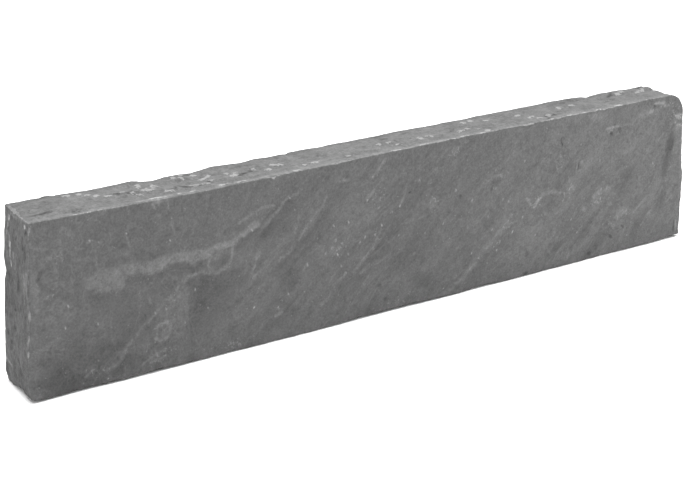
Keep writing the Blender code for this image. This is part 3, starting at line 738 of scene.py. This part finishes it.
def marks_and_painted_light(seen, level, sides):
    """How much paler than the plain stone each point is: the stone's own marks, with painted shade and
    painted highlights among them.
    """
    x, y, z = seen[:, 0], seen[:, 1], seen[:, 2]
    front = lines(x, z, FRONT_LINES_AND_HIGHLIGHTS) + steps(x, z, FRONT_STEPS) + patches(x, z, FRONT_PATCHES_AND_PAINTED_LIGHT)
    front = front + sliver(x, z) + specks(x, z, sides["front"])
    back_band = BACK_BAND * ease((y - BAND_START) / BAND_FADE)
    front_band = FRONT_BAND * ease((-BAND_START - y) / BAND_FADE)
    top = patches(*level, TOP_PATCHES_AND_PAINTED_SHADE) + lines(*level, TOP_CRACKS_SHADOWS_AND_HIGHLIGHTS) + back_band + front_band
    left = lines(y, z, LEFT_LINES_AND_HIGHLIGHTS) + patches(y, z, LEFT_PATCHES_AND_PAINTED_LIGHT)
    return front * sides["front"] + top * sides["top"] + left * sides["left"]


def on_sides(x, y, z):
    """For each side of the plain box, 1 on it, fading to 0 away from it."""
    return {side: 1 - ease(depth / FACE_FADE) for side, depth in depths(x, y, z).items()}


def add_masks(mesh, masks):
    """Keep the masks in the mesh, one value for each point."""
    for name, values in masks.items():
        mask = mesh.attributes.new(name, "FLOAT", "POINT")
        mask.data.foreach_set("value", values.astype(np.float32))


def thin_out(slab, points):
    """Leave fewer faces around the points given."""
    group = slab.vertex_groups.new(name="hidden")
    group.add(points.tolist(), 1.0, "REPLACE")
    thin = slab.modifiers.new("thin out", "DECIMATE")
    thin.ratio = HIDDEN_KEPT
    thin.vertex_group = "hidden"


def make_slab():
    """The slab itself, with its masks for the finish."""
    cells = box_cells()
    unit = np.array([v.co for v in cells.verts])
    box = np.stack((LENGTH * crowd(unit[:, 0], 0.1), THICKNESS * crowd(unit[:, 1], 0.4),
                    HEIGHT * (crowd(unit[:, 2], 0.4) + 0.5)), axis=1)
    stone, broken = shape_stone(box)
    x, y, z = box[:, 0], box[:, 1], box[:, 2]
    sides = on_sides(x, y, z)
    low, high = (np.array(corner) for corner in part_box(NODE))
    middle = (stone.min(axis=0) + stone.max(axis=0)) / 2
    stone += ((low + high) / 2 - middle) * (1, 1, 0)
    seen = stone - np.array(MARKS_ZERO)
    level = on_level(stone)
    flakes = flaked(*level) * sides["top"]
    stone[:, 2] += FLAKE_RISE * flakes
    stone[:, 1] -= FINE_GRAIN * rough(x / (9 * MM), z / (7 * MM), 940, 2) * sides["front"]
    for vert, place in zip(cells.verts, stone):
        vert.co = place
    bmesh.ops.recalc_face_normals(cells, faces=cells.faces)
    mesh = bpy.data.meshes.new("riven_slab")
    cells.to_mesh(mesh)
    cells.free()
    mesh.shade_smooth()
    masks = {"broken": broken, "flakes": flakes, "marks_and_painted_light": marks_and_painted_light(seen, level, sides),
             "crumbly": patches(seen[:, 0], seen[:, 2], FRONT_CRUMBS) * sides["front"],
             "streaky": blend(FAINT_STREAKS, 1.0, ease((x - STREAKS_START) / STREAKS_GROW)),
             "riven": np.maximum(sides["front"], sides["back"]),
             "ends": np.maximum(sides["left"], sides["right"])}
    add_masks(mesh, masks)
    slab = bpy.data.objects.new("riven_slab", mesh)
    bpy.context.scene.collection.objects.link(slab)
    mesh.materials.append(stone_finish())
    hidden = np.maximum(sides["back"], sides["foot"]) * (1 - broken) > 0.9
    thin_out(slab, np.flatnonzero(hidden))
    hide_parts(NODE)
    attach(slab, "root")
    return slab


class Wire:
    """A value in the finish: arithmetic on wires adds Math nodes."""

    def __init__(self, finish, socket):
        self.finish = finish
        self.socket = socket

    def math(self, operation, *values):
        return self.finish.node("ShaderNodeMath", {"operation": operation}, dict(enumerate(values)))

    def __add__(self, other):
        return self.math("ADD", self, other)

    def __sub__(self, other):
        return self.math("SUBTRACT", self, other)

    def __mul__(self, other):
        return self.math("MULTIPLY", self, other)

    def __radd__(self, other):
        return self.math("ADD", other, self)

    def __rsub__(self, other):
        return self.math("SUBTRACT", other, self)

    def __rmul__(self, other):
        return self.math("MULTIPLY", other, self)

    def ramp(self, low, high):
        """Smooth step from 0 at low to 1 at high."""
        inputs = {"Value": self, "From Min": low, "From Max": high}
        return self.finish.node("ShaderNodeMapRange", {"interpolation_type": "SMOOTHSTEP"}, inputs)

    def size(self):
        return self.math("ABSOLUTE", self)

    def at_least(self, low):
        return self.math("MAXIMUM", self, low)


class Finish:
    """A material and its nodes."""

    def __init__(self, name):
        self.material = bpy.data.materials.new(name)
        self.material.use_nodes = True
        self.tree = self.material.node_tree
        self.tree.nodes.clear()

    def node(self, kind, settings=None, inputs=None, output=0):
        made = self.tree.nodes.new(kind)
        for name, value in (settings or {}).items():
            setattr(made, name, value)
        for name, value in (inputs or {}).items():
            if isinstance(value, Wire):
                self.tree.links.new(value.socket, made.inputs[name])
            else:
                made.inputs[name].default_value = value
        return Wire(self, made.outputs[output]) if len(made.outputs) else made

    def mask(self, name):
        return self.node("ShaderNodeAttribute", {"attribute_name": name}, output="Fac")

    def stretched(self, place, scale, turn=0.0):
        """The place turned in the plane of the face, then scaled along each axis."""
        turned = self.node("ShaderNodeMapping", inputs={"Vector": place, "Rotation": (0, turn, 0)})
        return self.node("ShaderNodeMapping", inputs={"Vector": turned, "Scale": scale})

    def noise(self, place, scale, detail, roughness=0.5):
        """Noise around 0, from about -0.5 to 0.5."""
        inputs = {"Vector": place, "Scale": scale, "Detail": detail, "Roughness": roughness}
        return self.node("ShaderNodeTexNoise", inputs=inputs) - 0.5


def stone_finish():
    """Dry grey sandstone, paler where it is freshly broken, with the painted shade and painted light that
    its marks hold.
    """
    finish = Finish("grey sandstone")
    place = finish.node("ShaderNodeTexCoord", output="Object")
    swirl = finish.node("ShaderNodeTexNoise", inputs={"Vector": place, "Scale": 9.0, "Detail": 2.0},
                        output="Color")
    bent = finish.node("ShaderNodeVectorMath", {"operation": "MULTIPLY_ADD"},
                       {0: swirl, 1: (0.05, 0.05, 0.05), 2: place})
    weather = finish.noise(finish.stretched(bent, (11.0, 34.0, 34.0), STREAK_SLANT), 1.0, 6.0, 0.85)
    streaks = finish.noise(finish.stretched(bent, (12.0, 50.0, 80.0), STREAK_SLANT), 1.0, 4.0, 0.7)
    threads = finish.noise(finish.stretched(bent, (30.0, 90.0, 240.0), STREAK_SLANT), 1.0, 1.0)
    veins = finish.noise(finish.stretched(bent, (10.0, 26.0, 26.0), STREAK_SLANT), 1.0, 3.0, 0.6)
    curls = finish.noise(finish.stretched(bent, (24.0, 34.0, 24.0)), 1.0, 3.0, 0.6)
    layers = finish.noise(finish.stretched(place, (120.0, 300.0, 140.0)), 1.0, 4.0, 0.85)
    crust = finish.noise(place, 32.0, 5.0, 0.95)
    mottle = finish.noise(place, 75.0, 3.0, 0.65)
    crumbs = finish.noise(place, 165.0, 2.0, 0.6)
    gravel = finish.noise(place, 290.0, 1.0)
    grain = finish.noise(place, 400.0, 2.0, 0.7)
    broken = finish.mask("broken")
    flakes = finish.mask("flakes")
    riven_face = finish.mask("riven")
    hewn_face = 1 - riven_face
    ends = finish.mask("ends")
    worn = (broken + 1.2 * mottle + 1.2 * crumbs).ramp(0.50, 0.95)
    crushed = flakes.ramp(0.05, 0.3) * (0.75 * flakes + 2.3 * crumbs + 1.4 * grain).ramp(0.34, 0.54)
    crumbled = (gravel + 0.15 * finish.mask("crumbly")).ramp(0.21, 0.29)
    streaky = finish.mask("streaky")
    on_streaky = 0.85 * weather + 0.45 * streaks + 0.14 * threads.ramp(0.12, 0.26)
    on_streaky = on_streaky + 0.10 * veins.size().ramp(0.022, 0.0)
    on_cloudy = 0.95 * crust + 0.5 * mottle + 0.24 * curls.size().ramp(0.03, 0.0)
    on_riven = streaky * on_streaky + (1 - streaky) * on_cloudy + 0.20 * mottle + 0.40 * crumbs
    on_hewn = 1.7 * crust + 2.0 * layers * ends + 0.35 * mottle + 0.70 * crumbs
    tone = 1 + 0.95 * grain + riven_face * on_riven + hewn_face * on_hewn
    # The marks hold painted shade in pits, hollows and under ledges, painted highlights on arrises, and
    # painted light and shade across the front and the left end
    tone = tone + finish.mask("marks_and_painted_light") * (1.25 + 1.0 * mottle + 1.8 * crumbs + 1.2 * grain)
    tone = tone + WORN_PALER * worn + FLAKE_PALER * crushed + CRUMB_PALER * crumbled * riven_face
    grey = STONE_GREY * tone.at_least(0.3)
    colour = finish.node("ShaderNodeCombineColor", inputs={"Red": grey, "Green": grey, "Blue": grey})
    height = 0.5 * grain + (0.4 + 0.6 * hewn_face) * (crumbs + mottle)
    height = height + weather * riven_face + layers * ends
    bump = finish.node("ShaderNodeBump", inputs={"Strength": 0.8, "Distance": 0.0009, "Height": height})
    shader = finish.node("ShaderNodeBsdfPrincipled", inputs={
        "Base Color": colour, "Roughness": STONE_ROUGHNESS, "Specular IOR Level": 0.25, "Normal": bump})
    finish.node("ShaderNodeOutputMaterial", inputs={"Surface": shader})
    return finish.material


def set_camera():
    data = bpy.data.cameras.new("camera")
    data.sensor_width = SENSOR
    data.lens = CAMERA_FOCUS * SENSOR / PHOTO_WIDTH
    camera = bpy.data.objects.new("camera", data)
    camera.location = CAMERA_PLACE
    camera.rotation_euler = (math.pi / 2 - CAMERA_PITCH, 0.0, -CAMERA_YAW)
    bpy.context.scene.collection.objects.link(camera)
    bpy.context.scene.camera = camera


def set_floor():
    bpy.ops.mesh.primitive_plane_add(size=60.0, location=(0, 0, 0))
    floor = bpy.context.object
    floor.name = "studio_floor"
    paper = Finish("white paper")
    shader = paper.node("ShaderNodeBsdfPrincipled", inputs={
        "Base Color": (0.9, 0.9, 0.9, 1.0), "Roughness": 0.9, "Specular IOR Level": 0.0})
    paper.node("ShaderNodeOutputMaterial", inputs={"Surface": shader})
    floor.data.materials.append(paper.material)


def set_light():
    world = bpy.data.worlds.new("studio")
    world.use_nodes = True
    sky = world.node_tree.nodes["Background"]
    sky.inputs["Color"].default_value = (1.0, 1.0, 1.0, 1.0)
    sky.inputs["Strength"].default_value = SKY_STRENGTH
    bpy.context.scene.world = world
    for name, place, aim, width, height, watts in SOFT_BOXES:
        data = bpy.data.lights.new(name, "AREA")
        data.shape = "RECTANGLE"
        data.size = width
        data.size_y = height
        data.energy = watts
        light = bpy.data.objects.new(name, data)
        light.location = place
        light.rotation_euler = (Vector(aim) - Vector(place)).to_track_quat("-Z", "Y").to_euler()
        bpy.context.scene.collection.objects.link(light)


def main():
    bpy.context.scene.view_settings.view_transform = "Standard"
    make_slab()
    set_camera()
    set_floor()
    set_light()


main()
